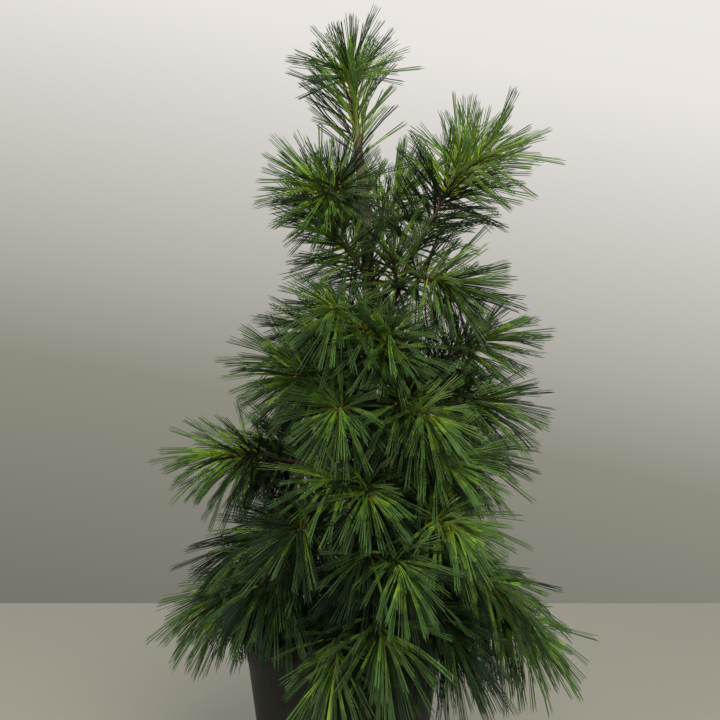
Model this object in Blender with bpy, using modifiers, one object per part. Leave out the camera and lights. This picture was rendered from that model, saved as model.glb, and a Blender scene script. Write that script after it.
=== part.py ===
"""A young weeping white pine in a round black nursery pot, at its real size.

Metres, +Z up. The origin is the middle of the pot's flat underside. +X is the viewer's right and
-Y comes towards the viewer. An azimuth is measured from +X towards +Y, seen from above.
"""

import math
import random

import bmesh
import bpy
import numpy as np
from mathutils import Matrix, Vector

# Pot
POT_HEIGHT = 0.241
POT_FOOT_RADIUS = 0.098
POT_TOP_RADIUS = 0.129
POT_WALL = 0.0025
RIM_OUT = 0.005
RIM_DROP = 0.018
RIM_EDGE = 0.0015
POT_STEPS = 32
DRAIN_RADIUS = 0.007
DRAIN_COUNT = 6
DRAIN_HEIGHT = 0.005
DRAIN_REACH = 0.030

# Soil
SOIL_TOP = 0.215
SOIL_SLUMP = 0.004
SOIL_FLAT_RADIUS = 0.045
GAP = 0.0003

# Trunk: its top leans, and its middle bows out to the right
TRUNK_TOP = 0.932
TRUNK_LEAN = 0.010
TRUNK_BOW = 0.029
TRUNK_SWAY = 0.006
TRUNK_FOOT_RADIUS = 0.0128
TRUNK_TIP_RADIUS = 0.0026
TRUNK_FULLNESS = 0.62
FLARE = 0.008
FLARE_HEIGHT = 0.014
FLARE_LOBES = 5
FLARE_LOBE_DEPTH = 0.16
TRUNK_RINGS = 16

# Limbs
LIMB_RADIUS = 0.0045
LIMB_TAPER = 0.55
LIMB_RINGS = 5
LIMB_SHARE = 0.5

# Foliage
STEM_RADIUS = 0.0034
CORE_RADIUS = 0.0046
STEM_RINGS = 3
LATERAL_SHARE = 0.40
LATERAL_LEAST = 0.036
LATERAL_MOST = 0.060
LATERAL_ANGLE = 46
LATERAL_FROM = 0.66
LATERAL_STEP = 0.13
NEEDLE_LENGTH = 0.088
NEEDLE_RADIUS = 0.0021
NEEDLE_FLAT = 1.7
TERMINAL_NEEDLES = 10
LATERAL_NEEDLES = 5
STEM_NEEDLES = 4
TERMINAL_LENGTH = 0.055
GOLDEN_TURN = math.radians(137.508)
LIMB_CLEAR = 0.0012
SPACE_CLEAR = 0.0006
TWIG_CLEAR = 0.013

# The whorls of boughs, lowest first. Each has its height on the trunk, how far its boughs arch over
# before they reach their tips, how much its needles droop, and its boughs: azimuth in degrees, reach
# from the trunk, height of the tip, and whether a bare limb shows before the foliage.
WHORLS = {
    "skirt": (0.272, 0.050, 0.70, [
        (36, 0.195, 0.262, False),
        (86, 0.185, 0.250, False),
        (144, 0.190, 0.258, False),
        (187, 0.172, 0.276, True),
        (229, 0.165, 0.318, False),
        (264, 0.172, 0.222, True),
        (284, 0.186, 0.268, False),
        (317, 0.180, 0.250, False),
        (341, 0.200, 0.300, True),
        (354, 0.236, 0.236, True),
    ]),
    "lower": (0.345, 0.035, 0.50, [
        (52, 0.175, 0.366, False),
        (116, 0.176, 0.354, False),
        (196, 0.150, 0.350, False),
        (246, 0.176, 0.392, True),
        (286, 0.196, 0.350, False),
        (308, 0.188, 0.394, True),
    ]),
    "middle": (0.425, 0.025, 0.38, [
        (15, 0.160, 0.452, False),
        (80, 0.168, 0.448, False),
        (142, 0.168, 0.452, False),
        (183, 0.183, 0.462, True),
        (272, 0.152, 0.430, False),
        (313, 0.150, 0.464, False),
    ]),
    "belt": (0.510, 0.015, 0.38, [
        (48, 0.142, 0.548, False),
        (120, 0.142, 0.540, False),
        (222, 0.118, 0.566, False),
        (256, 0.154, 0.536, True),
        (299, 0.150, 0.526, False),
        (281, 0.128, 0.622, False),
        (334, 0.162, 0.534, False),
        (353, 0.150, 0.610, True),
    ]),
    "waist": (0.606, 0.005, 0.36, [
        (88, 0.098, 0.628, False),
        (160, 0.080, 0.615, False),
        (249, 0.128, 0.652, True),
    ]),
    "shoulder": (0.735, 0.000, 0.12, [
        (40, 0.060, 0.796, False),
        (118, 0.074, 0.792, False),
        (234, 0.099, 0.798, True),
    ]),
}

# The strong limb on the right: it leaves the trunk, comes forward and rises past its three branches,
# which leave it at a share of its length
STRONG_START = 0.570
STRONG_TIP = (0.155, -0.030, 0.827)
STRONG_KNEE = (-0.014, -0.036, 0.030)
STRONG_RADIUS = 0.0052
BRANCHES = {
    "left": (0.26, (-0.013, -0.068, 0.748)),
    "middle": (0.34, (0.062, -0.050, 0.712)),
    "right": (0.43, (0.131, -0.078, 0.680)),
}
BRANCH_ARCH = -0.006
BRANCH_DROOP = 0.14

# The leader's needles: three strips of shoot that stand clear round the top of the trunk
LEADER_FROM = 0.838
LEADER_STRIPS = 3
LEADER_OUT = 0.0031
LEADER_NEEDLES = 12
LEADER_TIP_LENGTH = 0.014
LEADER_TIP_NEEDLES = 15

# Colours from the photograph, with roughness
FINISHES = {
    "pot": ((0.012, 0.012, 0.013), 0.45),
    "soil": ((0.045, 0.028, 0.018), 0.95),
    "bark": ((0.075, 0.050, 0.032), 0.80),
    "needles": ((0.045, 0.115, 0.030), 0.50),
}
SIDES = ("right", "back_right", "back", "back_left", "left", "front_left", "front", "front_right")


def clear_scene():
    for thing in list(bpy.data.objects):
        bpy.data.objects.remove(thing)


def finish(name):
    """The Principled material of that name, made once."""
    material = bpy.data.materials.get(name)
    if material is None:
        colour, roughness = FINISHES[name]
        material = bpy.data.materials.new(name)
        material.use_nodes = True
        shader = material.node_tree.nodes["Principled BSDF"]
        shader.inputs["Base Color"].default_value = (*colour, 1)
        shader.inputs["Roughness"].default_value = roughness
        shader.inputs["Metallic"].default_value = 0
    return material


def add_object(name, data, collection, material=None):
    thing = bpy.data.objects.new(name, data)
    collection.objects.link(thing)
    if material:
        data.materials.append(finish(material))
    return thing


def turned(name, profile, steps, collection, material):
    """A solid of revolution: the profile goes up the inside, over the top and down the outside."""
    mesh = bpy.data.meshes.new(name)
    edges = [(i, i + 1) for i in range(len(profile) - 1)]
    mesh.from_pydata([(radius, 0, height) for radius, height in profile], edges, [])
    thing = add_object(name, mesh, collection, material)
    screw = thing.modifiers.new("turn", "SCREW")
    screw.steps = screw.render_steps = steps
    screw.use_merge_vertices = True
    screw.merge_threshold = 0.00005
    screw.use_smooth_shade = False
    return thing


def pot_radius(height):
    """Outer radius of the pot's wall."""
    return POT_FOOT_RADIUS + (POT_TOP_RADIUS - POT_FOOT_RADIUS) * height / POT_HEIGHT


def build_pot(parts, cutters):
    inside = POT_HEIGHT - RIM_EDGE
    outside = POT_TOP_RADIUS + RIM_OUT
    under_rim = POT_HEIGHT - RIM_DROP
    profile = [
        (0, POT_WALL),
        (pot_radius(POT_WALL) - POT_WALL - RIM_EDGE, POT_WALL),
        (pot_radius(inside) - POT_WALL, inside),
        (pot_radius(inside) - POT_WALL + RIM_EDGE, POT_HEIGHT),
        (outside - RIM_EDGE, POT_HEIGHT),
        (outside, inside),
        (outside, under_rim + RIM_EDGE),
        (outside - RIM_EDGE, under_rim),
        (pot_radius(under_rim), under_rim),
        (pot_radius(RIM_EDGE), RIM_EDGE),
        (POT_FOOT_RADIUS - RIM_EDGE, 0),
        (0, 0),
    ]
    pot = turned("pot", profile, POT_STEPS, parts, "pot")
    drains = bpy.data.meshes.new("drains")
    form = bmesh.new()
    for k in range(DRAIN_COUNT):
        turn = Matrix.Rotation(math.tau * (k + 0.5) / DRAIN_COUNT, 4, "Z")
        place = Matrix.Translation((POT_FOOT_RADIUS, 0, DRAIN_HEIGHT + DRAIN_RADIUS))
        lying = Matrix.Rotation(math.radians(90), 4, "Y")
        bmesh.ops.create_cone(
            form, cap_ends=True, segments=8, radius1=DRAIN_RADIUS, radius2=DRAIN_RADIUS,
            depth=DRAIN_REACH, matrix=turn @ place @ lying,
        )
    form.to_mesh(drains)
    form.free()
    cutter = add_object("drains", drains, cutters)
    cut = pot.modifiers.new("drain holes", "BOOLEAN")
    cut.operation = "DIFFERENCE"
    cut.object = cutter
    return pot


def build_soil(parts):
    floor = POT_WALL + GAP
    edge = SOIL_TOP - SOIL_SLUMP
    wall = POT_WALL + 2 * GAP
    profile = [
        (0, SOIL_TOP),
        (SOIL_FLAT_RADIUS, SOIL_TOP),
        (pot_radius(edge) - wall, edge),
        (pot_radius(floor) - wall - RIM_EDGE, floor),
        (0, floor),
    ]
    return turned("soil", profile, POT_STEPS, parts, "soil")


def trunk_share(height):
    return (height - SOIL_TOP) / (TRUNK_TOP - SOIL_TOP)


def trunk_point(height):
    """The trunk's centre at that height."""
    share = trunk_share(height)
    x = TRUNK_LEAN * share + TRUNK_BOW * math.sin(math.pi * share)
    y = TRUNK_SWAY * math.sin(math.tau * share)
    return Vector((x, y, height))


def trunk_radius(height):
    share = min(max(trunk_share(height), 0), 1)
    spread = TRUNK_FOOT_RADIUS - TRUNK_TIP_RADIUS
    taper = TRUNK_TIP_RADIUS + spread * (1 - share) ** TRUNK_FULLNESS
    return taper + FLARE * math.exp(-max(height - SOIL_TOP, 0) / FLARE_HEIGHT)


def tube(name, points, radii, resolution, collection, material=None):
    """A tapering limb: a curve with a round bevel, made a mesh with its caps welded."""
    curve = bpy.data.curves.new(name, "CURVE")
    curve.dimensions = "3D"
    curve.bevel_depth = 1
    curve.bevel_resolution = resolution
    curve.use_fill_caps = True
    spline = curve.splines.new("POLY")
    spline.points.add(len(points) - 1)
    for knot, point, radius in zip(spline.points, points, radii):
        knot.co = (*point, 1)
        knot.radius = radius
    drawn = add_object(name + "_curve", curve, collection)
    bpy.context.view_layer.update()
    seen = drawn.evaluated_get(bpy.context.evaluated_depsgraph_get())
    mesh = bpy.data.meshes.new_from_object(seen)
    mesh.name = name
    form = bmesh.new()
    form.from_mesh(mesh)
    bmesh.ops.remove_doubles(form, verts=form.verts, dist=1e-6)
    bmesh.ops.recalc_face_normals(form, faces=form.faces)
    form.to_mesh(mesh)
    form.free()
    bpy.data.objects.remove(drawn)
    mesh.materials.clear()
    mesh.shade_smooth()
    return add_object(name, mesh, collection, material)


def trunk_form(name, extra, collection, material=None):
    """The trunk with its flared foot cut flat at the soil, or with extra a fatter copy to cut with."""
    low = SOIL_TOP - FLARE_HEIGHT
    rise = [(k / TRUNK_RINGS) ** 1.25 for k in range(TRUNK_RINGS + 1)]
    heights = [low + (TRUNK_TOP + extra - low) * share for share in rise]
    points = [trunk_point(height) for height in heights]
    radii = [trunk_radius(height) + extra for height in heights]
    trunk = tube(name, points, radii, 3, collection, material)
    form = bmesh.new()
    form.from_mesh(trunk.data)
    for vertex in form.verts:
        centre = trunk_point(vertex.co.z)
        out = vertex.co - centre
        near_foot = math.exp(-max(vertex.co.z - SOIL_TOP, 0) / FLARE_HEIGHT)
        lobe = math.cos(FLARE_LOBES * math.atan2(out.y, out.x))
        scale = 1 + FLARE_LOBE_DEPTH * near_foot * lobe
        vertex.co.x = centre.x + out.x * scale
        vertex.co.y = centre.y + out.y * scale
    edge = bmesh.ops.bisect_plane(
        form, geom=form.verts[:] + form.edges[:] + form.faces[:], dist=1e-7,
        plane_co=(0, 0, SOIL_TOP + GAP - extra), plane_no=(0, 0, 1), clear_inner=True,
    )["geom_cut"]
    rim = [piece for piece in edge if isinstance(piece, bmesh.types.BMEdge)]
    bmesh.ops.contextual_create(form, geom=rim)
    bmesh.ops.recalc_face_normals(form, faces=form.faces)
    form.to_mesh(trunk.data)
    form.free()
    return trunk


def apply_modifier(thing, modifier):
    with bpy.context.temp_override(object=thing, active_object=thing):
        bpy.ops.object.modifier_apply(modifier=modifier.name)


def cut_by(thing, cutter):
    """Takes the fatter copy of what carries it out of a limb, which leaves the gap between them."""
    cut = thing.modifiers.new("seat", "BOOLEAN")
    cut.operation = "DIFFERENCE"
    cut.object = cutter
    cut.solver = "MANIFOLD"
    apply_modifier(thing, cut)


def side_of(azimuth):
    return SIDES[round(azimuth / 45) % len(SIDES)]


def arched(start, tip, arch, share):
    """A point on the curve from start to tip whose middle is drawn aside by arch."""
    knee = (start + tip) / 2 + arch
    return start * (1 - share) ** 2 + knee * 2 * share * (1 - share) + tip * share**2


def direction_at(start, tip, arch, share):
    step = 0.01
    ahead = arched(start, tip, arch, share + step) - arched(start, tip, arch, share - step)
    return ahead.normalized()


class Shoot:
    """A straight length of core that needles stand out of."""

    def __init__(self, start, end, needles):
        self.start = start
        self.end = end
        self.needles = needles


class Mass:
    """One mass of foliage: a stem, its end shoot and the shoots beside it."""

    def __init__(self, name, start, tip, arch, droop, limb, carrier):
        self.name = name
        self.start = start
        self.tip = tip
        self.arch = arch
        self.droop = droop
        self.limb = limb
        self.carrier = carrier
        self.dice = random.Random(name)
        self.radius = LIMB_RADIUS
        self.from_share = LIMB_SHARE if limb else 0
        self.stem = []
        self.shoots = []

    def at(self, share):
        return arched(self.start, self.tip, self.arch, share)

    def length(self):
        return (self.tip - self.start).length

    def grow_stem(self):
        """The stem in straight pieces, with the end shoot last."""
        last = 1 - TERMINAL_LENGTH / self.length()
        last = max(last, self.from_share + 0.1)
        begin = self.from_share
        if self.limb:
            begin += (GAP + 0.0001) / self.length()
        shares = [begin + (last - begin) * k / STEM_RINGS for k in range(STEM_RINGS + 1)]
        needles = STEM_NEEDLES / STEM_RINGS
        for low, high in zip(shares, shares[1:]):
            count = round(needles * (low + high))
            self.shoots.append(Shoot(self.at(low), self.at(high), count))
        self.shoots.append(Shoot(self.at(last), self.at(1), TERMINAL_NEEDLES))
        self.stem = [shoot.start for shoot in self.shoots] + [self.tip]

    def lateral(self, index):
        """The shoot beside the stem of that index: left and right by turns, and a little upward."""
        share = LATERAL_FROM + LATERAL_STEP * index + self.dice.uniform(-0.03, 0.03)
        share = self.from_share + (1 - self.from_share) * share
        side = 1 if index % 2 else -1
        angle = side * math.radians(LATERAL_ANGLE + self.dice.uniform(-8, 8))
        rise = self.dice.uniform(0.0, 0.25)
        length = self.length() * LATERAL_SHARE * self.dice.uniform(0.85, 1.1)
        length = min(max(length, LATERAL_LEAST), LATERAL_MOST)
        along = direction_at(self.start, self.tip, self.arch, share)
        across = Matrix.Rotation(angle, 3, "Z") @ along
        heading = (across + Vector((0, 0, rise))).normalized()
        root = self.at(share)
        return Shoot(root, root + heading * length, LATERAL_NEEDLES)


def plan_masses():
    """Every mass of the whorls and of the forked limb, with its stem grown."""
    masses = []
    for whorl, (height, arch, droop, boughs) in WHORLS.items():
        taken = set()
        for index, (azimuth, reach, tip_height, limb) in enumerate(boughs):
            side = side_of(azimuth)
            name = f"{whorl}_{side}"
            if name in taken:
                name += "_low" if tip_height < height else "_2"
            taken.add(name)
            start = trunk_point(height + 0.011 * (index % 3 - 1))
            turn = math.radians(azimuth)
            tip = Vector((
                start.x + reach * math.cos(turn), start.y + reach * math.sin(turn), tip_height
            ))
            masses.append(Mass(name, start, tip, Vector((0, 0, arch)), droop, limb, "trunk"))
    strong = Mass(
        "strong", trunk_point(STRONG_START), Vector(STRONG_TIP), Vector(STRONG_KNEE),
        BRANCH_DROOP, True, "trunk",
    )
    strong.radius = STRONG_RADIUS
    masses.append(strong)
    for side, (share, tip) in BRANCHES.items():
        bend = Vector((0, 0, BRANCH_ARCH))
        start = strong.at(share)
        masses.append(Mass(f"strong_{side}", start, Vector(tip), bend, BRANCH_DROOP, False, "strong"))
    for mass in masses:
        mass.grow_stem()
    return masses


def segment_distances(points, starts, ends):
    """Distances from each point to each segment, as an array of points by segments."""
    along = ends - starts
    length2 = np.maximum((along**2).sum(1), 1e-12)
    offset = points[:, None, :] - starts[None]
    share = np.clip((offset * along[None]).sum(2) / length2, 0, 1)
    nearest = starts[None] + share[..., None] * along[None]
    return np.linalg.norm(points[:, None, :] - nearest, axis=2)


def stations(start, end, count):
    steps = np.linspace(0, 1, count)[:, None]
    return np.array(start)[None] * (1 - steps) + np.array(end)[None] * steps


def limb_segments(masses):
    """Centre lines and radii of the trunk and the bare limbs."""
    starts, ends, radii = [], [], []

    def add(points, thick):
        for (a, ra), (b, _) in zip(zip(points, thick), list(zip(points, thick))[1:]):
            starts.append(a)
            ends.append(b)
            radii.append(ra)

    heights = np.linspace(SOIL_TOP, TRUNK_TOP, 40)
    add([trunk_point(h) for h in heights], [trunk_radius(h) for h in heights])
    for mass in masses:
        if mass.limb:
            shares = np.linspace(0, mass.from_share, LIMB_RINGS)
            add([mass.at(s) for s in shares], [mass.radius] * LIMB_RINGS)
    return np.array(starts), np.array(ends), np.array(radii)


def shoot_arrays(shoots):
    starts = np.array([shoot.start for shoot in shoots]).reshape(-1, 3)
    ends = np.array([shoot.end for shoot in shoots]).reshape(-1, 3)
    return starts, ends


def grow_laterals(masses, limbs):
    """Adds the side shoots, leaving out one that would come too near another mass or a limb."""
    limb_starts, limb_ends, limb_radii = limbs
    for mass in masses:
        others = [shoot for other in masses if other is not mass for shoot in other.shoots]
        for index in range(2):
            shoot = mass.lateral(index)
            line = stations(shoot.start, shoot.end, 9)[2:]
            near = segment_distances(line, *shoot_arrays(others)).min()
            limb = (segment_distances(line, limb_starts, limb_ends) - limb_radii).min()
            if near > TWIG_CLEAR and limb > TWIG_CLEAR / 2:
                mass.shoots.append(shoot)


def needle_heading(shoot, share, turn, droop, dice):
    """Which way a needle points: outward at the shoot's foot, forward at its tip, and drooping."""
    axis = (shoot.end - shoot.start).normalized()
    side = axis.orthogonal().normalized()
    up = axis.cross(side)
    lean = math.radians(72 - 56 * share**1.5 + dice.uniform(-9, 9))
    heading = axis * math.cos(lean) + (side * math.cos(turn) + up * math.sin(turn)) * math.sin(lean)
    heading.z -= droop * dice.uniform(0.6, 1.2)
    return heading.normalized()


def place_needles(mass, masses, limbs):
    """The needles that fit in the mass's own space: root, tip and the way their shoot runs."""
    limb_starts, limb_ends, limb_radii = limbs
    own = shoot_arrays(mass.shoots)
    others = shoot_arrays([s for other in masses if other is not mass for s in other.shoots])
    placed = []
    for shoot in mass.shoots:
        offset = mass.dice.uniform(0, math.tau)
        for k in range(shoot.needles):
            share = (k + 0.6) / shoot.needles
            turn = offset + GOLDEN_TURN * k
            heading = needle_heading(shoot, share, turn, mass.droop, mass.dice)
            length = NEEDLE_LENGTH * mass.dice.uniform(0.86, 1.04)
            root = shoot.start.lerp(shoot.end, share)
            for shorter in (1.0, 0.8, 0.62):
                tip = root + heading * length * shorter
                line = stations(root, tip, 12)[1:]
                thick = NEEDLE_RADIUS * NEEDLE_FLAT * np.linspace(1, 0, 12)[1:]
                to_own = segment_distances(line, *own).min(1)
                to_other = segment_distances(line, *others).min(1)
                apart = (to_other - to_own) / 2 - thick
                beside = to_other - CORE_RADIUS - thick
                limb = (segment_distances(line, limb_starts, limb_ends) - limb_radii).min(1) - thick
                low = line[:, 2].min() - NEEDLE_RADIUS
                if apart.min() > SPACE_CLEAR and beside.min() > SPACE_CLEAR:
                    if limb.min() > LIMB_CLEAR and low > 0 and clear_of_pot(line, thick):
                        placed.append((root, tip, shoot.end - shoot.start))
                        break
    return placed


def clear_of_pot(line, thick):
    """Whether the points of a needle stay outside the pot and above the soil."""
    radius = np.hypot(line[:, 0], line[:, 1])
    height = line[:, 2] - thick
    beside_wall = radius - thick > POT_TOP_RADIUS + RIM_OUT + LIMB_CLEAR
    above_rim = height > POT_HEIGHT + LIMB_CLEAR
    return bool(np.all(beside_wall | above_rim))


def cone(name, start, end, radius, end_radius, sides, collection):
    """A straight tapering piece between two points, with its caps."""
    mesh = bpy.data.meshes.new(name)
    form = bmesh.new()
    length = (end - start).length
    bmesh.ops.create_cone(
        form, cap_ends=True, segments=sides, radius1=radius, radius2=end_radius, depth=length
    )
    form.to_mesh(mesh)
    form.free()
    piece = add_object(name, mesh, collection)
    piece.rotation_mode = "QUATERNION"
    piece.rotation_quaternion = (end - start).to_track_quat("Z", "Y")
    piece.location = (start + end) / 2
    return piece


def fuse(base, collection, name, solver):
    """Joins everything in the collection to the base piece by one union."""
    union = base.modifiers.new("fuse", "BOOLEAN")
    union.operation = "UNION"
    union.operand_type = "COLLECTION"
    union.collection = collection
    union.solver = solver
    apply_modifier(base, union)
    for piece in list(collection.objects):
        bpy.data.objects.remove(piece)
    bpy.data.collections.remove(collection)
    base.name = name
    base.data.name = name


def fill_pockets(thing):
    """Takes out the walls of any pocket closed in between crossing needles, so that it is solid."""
    form = bmesh.new()
    form.from_mesh(thing.data)
    left = set(form.verts)
    shells = []
    while left:
        shell = set()
        edge = [left.pop()]
        while edge:
            vertex = edge.pop()
            shell.add(vertex)
            near = {link.other_vert(vertex) for link in vertex.link_edges} & left
            left -= near
            edge.extend(near)
        shells.append(shell)
    outer = max(shells, key=len)
    inner = [vertex for vertex in form.verts if vertex not in outer]
    bmesh.ops.delete(form, geom=inner, context="VERTS")
    form.to_mesh(thing.data)
    form.free()


def settle(thing):
    """Puts a piece's place in its mesh."""
    bpy.context.view_layer.update()
    thing.data.transform(thing.matrix_world)
    thing.matrix_world = Matrix.Identity(4)


def build_mass(mass, needles, parts, carrier):
    """Fuses the stem, the shoots and the needles into one solid seated on what carries it."""
    pile = bpy.data.collections.new("pile")
    bpy.context.scene.collection.children.link(pile)
    radii = [STEM_RADIUS] * (len(mass.stem) - 1) + [CORE_RADIUS]
    base = tube("stem", mass.stem, radii, 0, parts)
    for shoot in mass.shoots[len(mass.stem) - 1:]:
        cone("side_shoot", shoot.start, shoot.end, STEM_RADIUS * 0.9, CORE_RADIUS, 4, pile)
    for root, tip, along in needles:
        blade = cone("needle", root, tip, NEEDLE_RADIUS, 0, 3, pile)
        heading = (tip - root).normalized()
        across = heading.cross(along).normalized()
        frame = Matrix((across.cross(heading), across, heading)).transposed()
        blade.rotation_quaternion = frame.to_quaternion()
        blade.scale.x = NEEDLE_FLAT
    base.data.materials.append(finish("needles"))
    fuse(base, pile, f"foliage_{mass.name}", "EXACT")
    settle(base)
    fill_pockets(base)
    if carrier:
        cut_by(base, carrier)
    return base


def build_limb(mass, name, parts, carrier, extra=0):
    """The bare part of a bough, or with extra a fatter copy of it to cut its branches with."""
    shares = [mass.from_share * k / LIMB_RINGS for k in range(LIMB_RINGS + 1)]
    points = [mass.at(share) for share in shares]
    slim = 1 - LIMB_TAPER
    radii = [mass.radius * (1 - slim * k / LIMB_RINGS) + extra for k in range(LIMB_RINGS + 1)]
    limb = tube(name, points, radii, 1, parts, None if extra else "bark")
    if carrier:
        cut_by(limb, carrier)
    return limb


def leader_masses():
    """The strips of needles round the leader, and the tuft that caps it."""
    masses = []
    for k in range(LEADER_STRIPS):
        name = f"leader_{('right', 'left', 'back')[k]}"
        turn = math.radians((-30, 210, 90)[k])
        out = Vector((math.cos(turn), math.sin(turn), 0))
        low, high = LEADER_FROM, TRUNK_TOP - 0.004
        start = trunk_point(low) + out * (trunk_radius(low) + LEADER_OUT)
        end = trunk_point(high) + out * (trunk_radius(high) + LEADER_OUT)
        mass = Mass(name, start, end, Vector(), 0.02, False, "trunk")
        mass.stem = [start, start.lerp(end, 0.5), end]
        mass.shoots.append(Shoot(start, end, LEADER_NEEDLES))
        masses.append(mass)
    tip = trunk_point(TRUNK_TOP)
    start = tip + Vector((0, 0, GAP + 0.0001))
    end = start + Vector((0, 0, LEADER_TIP_LENGTH))
    mass = Mass("leader_tip", start, end, Vector(), -0.05, False, None)
    mass.stem = [start, end]
    mass.shoots.append(Shoot(start, end, LEADER_TIP_NEEDLES))
    masses.append(mass)
    return masses


def main():
    clear_scene()
    parts = bpy.data.collections.new("potted white pine")
    cutters = bpy.data.collections.new("cutters")
    for collection in (parts, cutters):
        bpy.context.scene.collection.children.link(collection)

    build_pot(parts, cutters)
    build_soil(parts)
    trunk_form("trunk", 0, parts, "bark")
    trunk_cutter = trunk_form("trunk_clearance", GAP, cutters)
    masses = plan_masses()
    limbs = limb_segments(masses)
    grow_laterals(masses, limbs)
    crown = masses + leader_masses()

    strong = next(mass for mass in masses if mass.name == "strong")
    strong_cutter = build_limb(strong, "strong_clearance", cutters, None, GAP)
    carriers = {"trunk": trunk_cutter, "strong": strong_cutter}
    for mass in crown:
        carrier = carriers.get(mass.carrier)
        if mass.limb:
            build_limb(mass, f"bough_{mass.name}", parts, carrier)
            carrier = None
        build_mass(mass, place_needles(mass, crown, limbs), parts, carrier)
    for cutter in cutters.objects:
        cutter.hide_render = True
        cutter.display_type = "WIRE"


main()
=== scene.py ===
# %% [markdown]
# # A weeping white pine in a nursery pot
#
# The plant is about a metre tall. It stands in a round black pot, its boughs leave the trunk in
# whorls, and its soft needles grow five to a bundle. The CAD frame gives every main shape its
# place, and each piece below stands where a CAD node stands, at the same size.

import math
import random

import bpy
import numpy as np
from mathutils import Matrix, Vector, noise


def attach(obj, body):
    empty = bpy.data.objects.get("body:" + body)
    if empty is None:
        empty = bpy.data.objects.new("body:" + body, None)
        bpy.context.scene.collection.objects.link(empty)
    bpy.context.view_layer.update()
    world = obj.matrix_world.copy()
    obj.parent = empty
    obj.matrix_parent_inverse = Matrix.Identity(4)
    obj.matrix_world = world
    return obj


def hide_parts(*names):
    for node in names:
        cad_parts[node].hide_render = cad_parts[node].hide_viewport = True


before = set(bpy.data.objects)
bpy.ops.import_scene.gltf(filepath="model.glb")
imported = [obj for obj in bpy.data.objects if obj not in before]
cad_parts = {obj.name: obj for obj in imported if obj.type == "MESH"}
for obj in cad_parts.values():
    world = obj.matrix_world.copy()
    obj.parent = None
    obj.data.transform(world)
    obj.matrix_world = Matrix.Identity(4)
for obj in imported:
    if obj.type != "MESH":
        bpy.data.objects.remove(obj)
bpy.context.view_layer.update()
print("nodes in the frame:", len(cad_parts))

# %% [markdown]
# ## The camera
#
# The photograph looks at the plant from 1.7 m away and 5 degrees down. At that distance one pixel
# of the 720 across is 1.27 mm in the plane of the trunk. A lens is easiest to set from those two
# numbers, so no field of view has to be guessed by eye.

# %% Set up the camera
PIXELS = 720
PIXEL_SIZE = 0.00127
SENSOR = 36
DISTANCE = 1.7
NEAREST = 0.05
LOOK_DOWN = math.radians(5)
LOOK_AT = Vector((0.0216, 0, 0.5804))


def new_object(name, data):
    made = bpy.data.objects.new(name, data)
    bpy.context.scene.collection.objects.link(made)
    return made


def add_camera():
    camera = bpy.data.cameras.new("camera")
    camera.sensor_width = SENSOR
    camera.lens = SENSOR * DISTANCE / (PIXELS * PIXEL_SIZE)
    camera.clip_start = NEAREST
    stand = new_object("camera", camera)
    back = Vector((0, -math.cos(LOOK_DOWN), math.sin(LOOK_DOWN)))
    stand.location = LOOK_AT + back * DISTANCE
    stand.rotation_euler = (math.radians(90) - LOOK_DOWN, 0, 0)
    bpy.context.scene.camera = stand
    print("camera at", [round(c, 3) for c in stand.location], "lens", round(camera.lens, 1))


add_camera()

# %% [markdown]
# ## Finishes
#
# Needles, twigs and buds are so small that a plain colour each is all that the eye can tell. The
# pot, the soil and the bark are larger, and get a pattern worked out from Object coordinates.

# %% Helpers for finishes


def shader_of(material):
    return material.node_tree.nodes["Principled BSDF"]


def plain_finish(name, colour, roughness, specular):
    material = bpy.data.materials.new(name)
    material.use_nodes = True
    shader = shader_of(material)
    shader.inputs["Base Color"].default_value = (*colour, 1)
    shader.inputs["Roughness"].default_value = roughness
    shader.inputs["Specular IOR Level"].default_value = specular
    return material


def add_node(owner, kind, **inputs):
    """A node with its inputs set by name."""
    node = owner.node_tree.nodes.new(kind)
    for socket, value in inputs.items():
        node.inputs[socket.replace("_", " ")].default_value = value
    return node


def wire(source, output, target, socket):
    source.id_data.links.new(source.outputs[output], target.inputs[socket])


def noise_on_object(material, scale, detail, stretch=(1, 1, 1)):
    """A noise pattern in Object coordinates, drawn out by stretch."""
    place = add_node(material, "ShaderNodeTexCoord")
    mapping = add_node(material, "ShaderNodeMapping", Scale=stretch)
    grain = add_node(material, "ShaderNodeTexNoise", Scale=scale, Detail=detail)
    wire(place, "Object", mapping, "Vector")
    wire(mapping, "Vector", grain, "Vector")
    return grain


def colour_ramp(owner, stops):
    """A ramp through rising stops of (place, colour)."""
    ramp = add_node(owner, "ShaderNodeValToRGB")
    marks = ramp.color_ramp.elements
    marks[0].position = stops[0][0]
    marks[1].position = stops[-1][0]
    for place, _ in stops[1:-1]:
        marks.new(place)
    for mark, (_, colour) in zip(marks, stops):
        mark.color = (*colour, 1)
    return ramp


def colour_by(material, pattern, stops):
    ramp = colour_ramp(material, stops)
    wire(pattern, "Fac", ramp, "Fac")
    wire(ramp, "Color", shader_of(material), "Base Color")


def raise_by(material, pattern, strength, depth):
    """Bump from the pattern, depth in metres."""
    bump = add_node(material, "ShaderNodeBump", Strength=strength, Distance=depth)
    wire(pattern, "Fac", bump, "Height")
    wire(bump, "Normal", shader_of(material), "Normal")


def give_finish(piece, *finishes):
    for finish in finishes:
        piece.data.materials.append(finish)


print("finish helpers ready")

# %% [markdown]
# ## Shaping by hand
#
# The pot and the soil are turned shapes. They could be spun from a profile, but growing them ring
# by ring is how it goes by hand in Edit Mode: extrude the edge of a circle, move it up, scale it
# out, and again. The wall keeps one even set of segments from the foot to the rim.

# %% Helpers for shaping


def deselect():
    bpy.ops.object.select_all(action="DESELECT")


def pick(piece):
    deselect()
    piece.select_set(True)
    bpy.context.view_layer.objects.active = piece


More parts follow.
